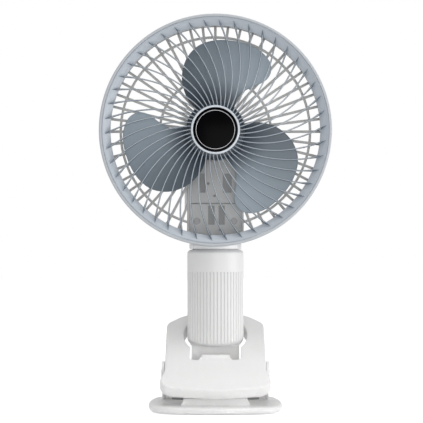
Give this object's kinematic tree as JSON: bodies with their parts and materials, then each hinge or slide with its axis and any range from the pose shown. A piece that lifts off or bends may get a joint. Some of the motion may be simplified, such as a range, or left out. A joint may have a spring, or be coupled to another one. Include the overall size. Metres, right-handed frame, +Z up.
{
  "type": "clip fan",
  "caption": "Rechargeable clip fan: round grilled head with a curved-fin guard and lobed impeller on a fluted battery stem, on a sprung clip with a rounded square base.",
  "frame": {"origin": "centre of the underside of the base", "axes": "+Z up, -Y the way the fan blows, +X to the right seen from the front"},
  "size_m": [0.1864, 0.1137, 0.3159],
  "materials": {
    "white_shell": "satin moulded, fine texture",
    "yoke_plastic": "satin moulded",
    "rim_plastic": "satin moulded",
    "grille_blue": "satin moulded",
    "grille_grey": "satin moulded",
    "blade_slate": "semi-gloss moulded",
    "badge_black": "gloss",
    "badge_silver": "bright",
    "soft_white": "matt soft plastic",
    "foot_rubber": "matt",
    "white_nylon": "matt",
    "dark_nylon": "matt",
    "steel": "plain",
    "spring_steel": "oiled wire",
    "bronze": "sintered",
    "winding": "laminations and enamelled wire",
    "cell_wrap": "shrink film",
    "board_green": "solder mask",
    "window_clear": "frosted",
    "button_grey": "satin"
  },
  "bodies": {
    "base": {"base_plate": "white_shell", "foot_sheet": "foot_rubber", "jaw_block": "soft_white", "tilt_knuckle": "white_shell", "knuckle_screws": "steel", "hinge_axle": "steel", "clip_spring_right": "spring_steel", "clip_spring_left": "spring_steel"},
    "clip": {"clip_plate": "white_shell", "upper_pad": "soft_white", "spring_arms": "spring_steel"},
    "stem": {"stem_tube": "white_shell", "stem_yoke": "yoke_plastic", "tilt_bolt": "steel", "tilt_nut": "steel", "battery_cell_left": "cell_wrap", "battery_cell_right": "cell_wrap", "battery_cradle": "dark_nylon", "control_board": "board_green", "charge_socket": "steel", "light_window": "window_clear", "swivel_washer": "white_nylon"},
    "head": {"neck_shell": "white_shell", "neck_panel": "grille_grey", "neck_screws": "steel", "grille_screws": "steel", "outer_rim": "rim_plastic", "front_grille": "grille_blue", "hub_badge": "badge_black", "badge_ring": "badge_silver", "rear_grille": "grille_grey", "motor_can": "steel", "motor_bush_front": "bronze", "motor_bush_rear": "bronze", "motor_stator": "winding", "swivel_spigot": "white_shell", "swivel_retainer": "steel"},
    "impeller": {"impeller": "blade_slate", "motor_rotor": "winding", "motor_shaft": "steel", "push_nut": "steel"},
    "button": {"speed_button": "button_grey"}
  },
  "joints": [
    {"name": "clip_hinge", "type": "hinge", "parent": "base", "child": "clip", "pos_m": [0, -0.003, 0.03], "axis": [-1, 0, 0], "range_deg": [0, 30], "stiffness_Nm_per_rad": 0.8, "springref_deg": -25.78},
    {"name": "stem_tilt", "type": "hinge", "parent": "base", "child": "stem", "pos_m": [0, 0.026, 0.034], "axis": [1, 0, 0], "range_deg": [-3, 15]},
    {"name": "head_pan", "type": "hinge", "parent": "stem", "child": "head", "pos_m": [0, 0.026, 0.1276], "axis": [0, 0, 1], "range_deg": [-90, 90]},
    {"name": "impeller_spin", "type": "hinge", "parent": "head", "child": "impeller", "pos_m": [0, 0.01, 0.2227], "axis": [0, 1, 0], "continuous": true},
    {"name": "button_press", "type": "slide", "parent": "stem", "child": "button", "axis": [0, -1, 0], "range_m": [0, 0.0008], "stiffness_N_per_m": 1500, "springref_m": -0.0006}
  ]
}
